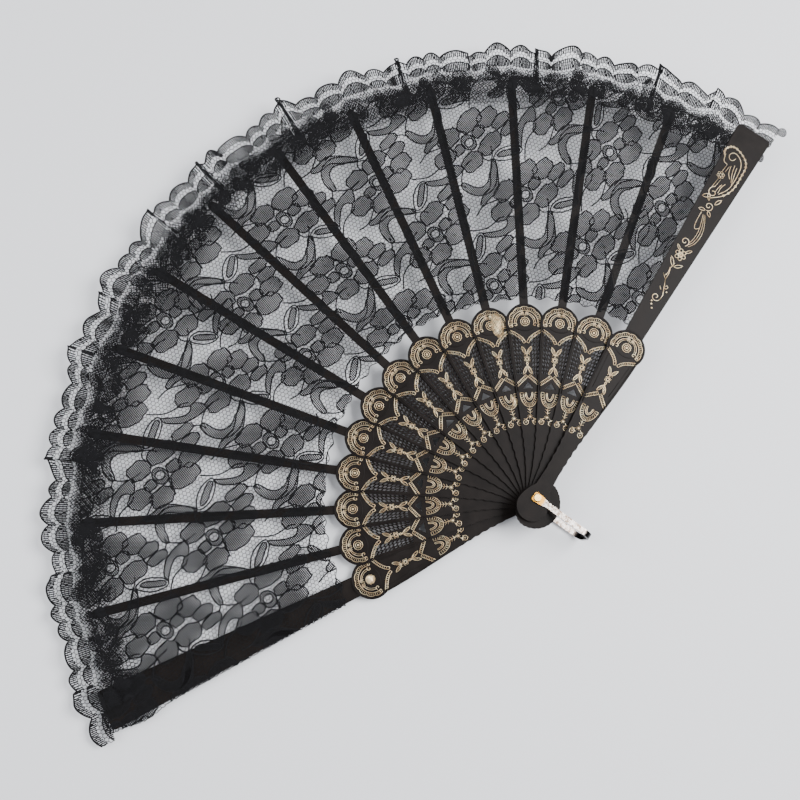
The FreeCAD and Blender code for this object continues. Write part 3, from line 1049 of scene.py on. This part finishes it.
# %% Ruffle
RUFFLE_WIDTH = 48.0
RUFFLE_EDGE = 236.0
SCALLOPS = ((15.4, 9.0, 14.0, 9.6), (9.2, 16.0, 8.6, 14.2), (13.2, 9.4, 16.4, 9.0), (9.8, 13.4, 9.6, 15.2))
COMB_PITCH = 0.86
PLEATS = ((0.30, 0.3), (0.50, 0.3), (0.67, 0.5), (0.84, 0.4), (0.47, 0.5), (0.48, 0.6), (0.22, 0.8),
          (0.33, 0.9), (0.72, 1.0), (0.50, 0.3), (0.30, 1.0), (0.71, 1.0), (0.40, 0.4))


def ruffle_surface(k):
    """Function from flat ruffle points (along the edge, radius) to the gathered cloth of gap k."""
    near, far = lace_height(k), lace_height(k + 1)
    pleat, depth = PLEATS[k]

    def gather(points):
        part = points[:, 0] / RUFFLE_WIDTH
        pin = np.abs(np.sin(np.pi * np.clip(part, 0, 1)))
        full = np.clip((points[:, 1] - RUFFLE_START) / (RUFFLE_EDGE - RUFFLE_START), 0, 1.3)
        fold = (part - pleat) / 0.035
        squeeze = -0.095 * depth * fold * np.exp(-fold ** 2) * full ** 1.5
        sway = 0.012 * np.sin(6 * np.pi * part + 1.3 * k) * pin * full
        turn = HALF_GAP - GAP * (part + sway + squeeze)
        reach = points[:, 1] + full * pin * (2.4 * np.sin(2 * np.pi * part + 0.9 * k) - 0.6)
        reach = reach + 2.4 * depth * full * np.exp(-fold ** 2)
        wave = 1.2 * np.sin(4 * np.pi * part + 1.7 * k) + 0.9 * np.sin(6 * np.pi * part)
        crumple = 0.5 * np.sin(points[:, 1] * 1.1 + 9 * part) * pin * np.clip(1.2 - full, 0, 1)
        height = near + (far - near) * part + 0.5 * pin + full * (1.0 + wave * pin ** 0.5) + crumple
        height = height + 1.1 * depth * full * np.tanh(fold) * np.exp(-(fold / 2.5) ** 2)
        return np.column_stack((reach * np.cos(turn), reach * np.sin(turn), height))
    return gather


def scallop_at(s, k):
    """Start and width of the scallop at the distance s along the edge of gap k."""
    gaps = math.floor((s + 1e-9) / RUFFLE_WIDTH)
    start = RUFFLE_WIDTH * gaps
    for width in SCALLOPS[(k + gaps) % len(SCALLOPS)]:
        if s < start + width:
            break
        start += width
    return start, width


def scallop_edge(s, k):
    """Radius of the scalloped edge at the distance s along it."""
    start, width = scallop_at(s, k)
    u = min(max((s - start) / width, 0.0), 1.0)
    return RUFFLE_EDGE + (4.2 if width > 12 else 2.8) * math.sin(math.pi * u) ** 0.75


def crescent(s, k, drop, thick):
    """Outer and inner radius of the dark crescent that lies a drop below the edge at s."""
    start, width = scallop_at(s, k)
    swell = math.sin(math.pi * min(max((s - start - 0.2) / (width - 0.4), 0.0), 1.0)) ** 0.6
    outer = RUFFLE_EDGE - drop + (3.4 if width > 12 else 2.2) * swell
    return outer, outer - thick * (0.12 + 0.88 * swell) * (1.0 if width > 12 else 0.7)


def comb(s0, s1, pitch, ends, half_width):
    """Short stitches between two radii given by a function of s, alternately long and short."""
    lines = []
    for i, s in enumerate(np.arange(s0 + pitch / 2, s1, pitch)):
        outer, inner = ends(s)
        if outer - inner > 0.5:
            lines.append((np.array(((s, inner - 0.4 * (i % 2)), (s, outer + 0.25 * (i % 3)))), half_width))
    return lines


def edge_rows(s0, s1, k):
    """Combs and crescents between two distances along the edge."""
    rows = comb(s0, s1, COMB_PITCH, lambda v: (scallop_edge(v, k) - 0.3, scallop_edge(v, k) - 3.3), 0.30)
    rows += comb(s0, s1, COMB_PITCH, lambda v: crescent(v, k, 6.0, 5.6), 0.32)
    rows += comb(s0, s1, COMB_PITCH, lambda v: crescent(v + 6.0, k, 13.6, 4.4), 0.29)
    s = np.arange(s0, s1 + 0.25, 0.5)
    return rows + [(np.column_stack((s, [crescent(v, k, 6.0, 5.6)[0] for v in s])), 0.27)]


def edge_cord(s0, s1, k):
    """Cord along the scallops."""
    s = np.arange(s0, s1 + 0.25, 0.5)
    return [(np.column_stack((s, [scallop_edge(v, k) for v in s])), 0.42)]


def crumpled(s0, s1, low, high, count, seed):
    """Fills of doubled cloth scattered over a stretch of the edge, as (outline, thread angle)."""
    dice = np.random.default_rng(seed)
    fills = []
    for _ in range(count):
        centre = (dice.uniform(s0, s1), dice.uniform(low, high))
        shape = petal(dice.uniform(6.5, 11.5), dice.uniform(4.5, 7.0), 12)
        shape = shape - shape.mean(axis=0)
        fills.append((moved(shape, *centre, dice.uniform(0, 360)), dice.uniform(-70, 70)))
    return fills


def fill_runs(shape, angles, pitch, inside, half_width):
    """Crossing threads of a fill, cut to a region."""
    return [(run, half_width) for angle in angles for line in hatch(shape, pitch, angle)
            for run in clip_polyline(line, inside)]


def crumple_band():
    """Outline of the crumpled zone of a gap, with ragged sides."""
    s = np.linspace(0.0, RUFFLE_WIDTH, 33)
    low = 212.5 + 1.6 * np.cos(s * 2 * np.pi / 16.0) + 0.8 * np.sin(s * 1.9)
    high = 226.5 + 1.2 * np.cos(s * 2 * np.pi / 12.0) + 0.6 * np.sin(s * 2.3)
    return np.vstack((np.column_stack((s, low)), np.column_stack((s, high))[::-1]))


def ruffle_threads(k):
    """Threads of the gathered edge of gap k, as flat lines (s, radius) with their half-widths."""
    threads = edge_rows(0.0, RUFFLE_WIDTH, k) + edge_cord(0.0, RUFFLE_WIDTH, k)

    def inside(points):
        top = np.array([scallop_edge(v, k) for v in points[:, 0]]) - 0.2
        across = np.minimum(points[:, 0] + 1e-6, RUFFLE_WIDTH - points[:, 0] + 1e-6)
        return np.minimum(np.minimum(top - points[:, 1], across), points[:, 1] - RUFFLE_START)

    rows, links = net(0.0, RUFFLE_WIDTH, RUFFLE_START, RUFFLE_EDGE + 6)
    threads += [(run, NET_THREAD) for line in rows + links for run in clip_polyline(line, inside)]
    threads += fill_runs(crumple_band(), (25 + 8 * (k % 3), -50), 1.25, inside, 0.15)
    for i, (shape, angle) in enumerate(crumpled(0, RUFFLE_WIDTH, 213.0, 226.0, 13, 40 + k)):
        threads += fill_runs(shape, (angle, angle + 80), 0.8, inside, 0.19)
        if i % 2:
            threads += [(run, 0.2) for run in clip_polyline(np.vstack((shape, shape[:1])), inside)]
    part, depth = PLEATS[k]
    pleat = part * RUFFLE_WIDTH
    for spot, length, width in ((0.0, 6.0, 5.0), (RUFFLE_WIDTH, 6.0, 5.0),
                                (pleat - 3.0, 12.0 * depth, 8.0 * depth)):
        knot = moved(petal(length, width), spot - length / 2, 217.0, 8)
        threads += fill_runs(knot, (10, 95), 0.65, inside, 0.25)
    if depth > 0.7:
        strip = ((pleat - 2.4, 218.0), (pleat - 1.8, 243.0), (pleat + 2.0, 243.0), (pleat + 1.8, 218.0))
        threads += fill_runs(strip, (4, 86), 0.85, inside, 0.22)
    return threads


for k in range(GAPS):
    name = "lace_ruffle_%02d" % (k + 1)
    gather = ruffle_surface(k)
    strokes = [(gather(divide(line, 2.0)), half, False) for line, half in ruffle_threads(k)]
    mesh = strokes_to_mesh(name + "_threads", strokes)
    mesh.transform(gap_matrix(k))
    piece = add_object(name + "_threads", mesh, thread)
    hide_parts(name)
    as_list(NODE_OF[k:k + 2])
    blend_over_gap(piece, k)
print("faces in the last ruffle", len(mesh.polygons))

# %% [markdown]
# ## The ends of the lace
#
# The leaf starts on the rear guard. It covers the guard's blade, hangs over its long edge in a
# thin fringe and runs on past its tip to the last scallop. At the other end it is glued behind the
# front guard, where only a piece of the scalloped edge and a few frayed bits look out.

# %% End strip on the rear guard
BLADE_START = 99.0
BLADE_START_HALF_WIDTH = 4.9
BLADE_TAPER = 0.0397


def blade_edge(x):
    """Distance from the middle line to the long edge of a guard's blade."""
    return BLADE_START_HALF_WIDTH + (x - BLADE_START) * BLADE_TAPER


def fringe(x):
    """How far the cloth hangs over the long edge of the rear blade."""
    return 0.3 + 0.35 * np.sin(x * 0.9) ** 2 + 2.2 * np.exp(-((x - 214.0) / 9.0) ** 2)


def end_strip_threads():
    """Threads glued on the rear blade, between its middle line and its outer edge."""
    def inside(points):
        over = blade_edge(points[:, 0]) + fringe(points[:, 0]) - points[:, 1]
        return np.minimum(np.minimum(points[:, 1] + 0.05, over),
                          np.minimum(points[:, 0] - LACE_START, 232.0 - points[:, 0]))

    threads = cloth(direction(0), LACE_START, 234.0, 16.0, inside)
    x = np.arange(LACE_START + 1, 231, 0.7)
    return threads + [(np.column_stack((x, blade_edge(x) + fringe(x) + 0.25 * np.sin(x * 2.9))), 0.19)]


def end_scallops(s0, s1, k, height, low):
    """Scalloped edge carried on past a guard's middle line, from s0 to s1, at one height."""
    def inside(points):
        top = np.array([scallop_edge(v, k) for v in points[:, 0]]) - 0.2
        across = np.minimum(points[:, 0] - s0, s1 - points[:, 0])
        return np.minimum(np.minimum(top - points[:, 1], across), points[:, 1] - low)

    threads = [(run, half) for line, half in edge_rows(s0, s1, k) for run in clip_polyline(line, inside)]
    threads += edge_cord(s0, s1, k)
    rows, links = net(s0, s1, low, RUFFLE_EDGE + 6)
    threads += [(run, NET_THREAD) for line in rows + links for run in clip_polyline(line, inside)]
    return [(np.column_stack((line[:, 1], -line[:, 0], np.full(len(line), height))), half)
            for line, half in threads]


low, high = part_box("lace_end_strip")
strip_z = (low[2] + high[2]) / 2 / MM
strokes = [(np.column_stack((divide(line, 6.0), np.full(len(divide(line, 6.0)), strip_z))), half, False)
           for line, half in end_strip_threads()]
strokes += [(line, half, False) for line, half in end_scallops(-14.2, 0.0, 0, strip_z, 230.5)]
mesh = strokes_to_mesh("lace_end_strip_threads", strokes)
mesh.transform(placing(0, 0.0))
strip = add_object("lace_end_strip_threads", mesh, thread)
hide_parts("lace_end_strip")
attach(strip, "root")
print("faces in the end strip", len(mesh.polygons))

# %% Last bits of lace behind the front guard
front_z = lace_height(GAPS) + 0.05
bits = [(line, half, False) for line, half in end_scallops(0.0, 11.0, GAPS - 1, front_z, 229.0)]
for spot, length, width, turn in (((238.0, -10.0), 5.5, 4.6, -60), ((231.5, -10.2), 4.0, 2.2, 170),
                                  ((222.5, -9.9), 4.5, 2.4, 185)):
    shape = moved(petal(length, width, 12), *spot, turn)
    for angle in (15, 75, 130):
        bits += [(np.column_stack((line, np.full(len(line), front_z))), 0.18, False)
                 for line in hatch(shape, 0.85, angle)]
    bits.append((np.column_stack((shape, np.full(len(shape), front_z))), 0.2, True))
mesh = strokes_to_mesh("lace_front_end_threads", bits)
mesh.transform(placing(GAPS, 0.0))
front_end = add_object("lace_front_end_threads", mesh, thread)
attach(front_end, "front_guard")
print("faces in the front end", len(mesh.polygons))

# %% [markdown]
# ## Stage, light and camera
#
# The fan lies on a pale floor under soft studio light: a bright, even surround, one large soft
# light over the lower right, and a weaker one opposite. The camera looks down on the fan, a little
# from its left, and is rolled so that the front guard points up and to the right.

# %% Floor
FLOOR_Z = -0.0002


def make_floor():
    """Large plain floor."""
    bm = bmesh.new()
    bmesh.ops.create_grid(bm, x_segments=1, y_segments=1, size=3.0)
    bmesh.ops.translate(bm, verts=bm.verts, vec=(0, 0, FLOOR_Z))
    mesh = bpy.data.meshes.new("floor")
    bm.to_mesh(mesh)
    bm.free()
    material, _ = new_material("pale_floor", (0.82, 0.83, 0.86), 0.85)
    floor = add_object("floor", mesh, material, False)


make_floor()

# %% Light


def add_light(name, place, target, size, power):
    """Large soft square light aimed at a point."""
    lamp = bpy.data.lights.new(name, "AREA")
    lamp.size = size
    lamp.energy = power
    item = bpy.data.objects.new(name, lamp)
    item.location = place
    item.rotation_euler = (Vector(target) - Vector(place)).to_track_quat("-Z", "Y").to_euler()
    bpy.context.scene.collection.objects.link(item)


world = bpy.data.worlds.new("surround")
world.use_nodes = True
world.node_tree.nodes["Background"].inputs["Color"].default_value = (0.93, 0.95, 1.0, 1.0)
world.node_tree.nodes["Background"].inputs["Strength"].default_value = 0.55
bpy.context.scene.world = world
add_light("key_light", (0.55, -0.25, 0.9), (0, 0.08, 0), 0.7, 22.0)
add_light("fill_light", (-0.7, 0.7, 0.9), (0, 0.08, 0), 1.0, 12.0)

# %% Camera
EYE = Vector((-0.1090, 0.0530, 0.5285))
AIM = Vector((-0.0166, 0.0813, 0.0100))
ROLL = math.radians(-41.84)
FOCAL = 47.25

camera = bpy.data.cameras.new("camera")
camera.lens = FOCAL
camera.sensor_width = 36.0
viewer = bpy.data.objects.new("camera", camera)
back = (EYE - AIM).normalized()
right = Vector((0, 1, 0)).cross(back).normalized()
up = back.cross(right)
turn = Matrix((right, up, back)).transposed().to_4x4()
viewer.matrix_world = Matrix.Translation(EYE) @ turn @ Matrix.Rotation(ROLL, 4, "Z")
bpy.context.scene.collection.objects.link(viewer)
bpy.context.scene.camera = viewer
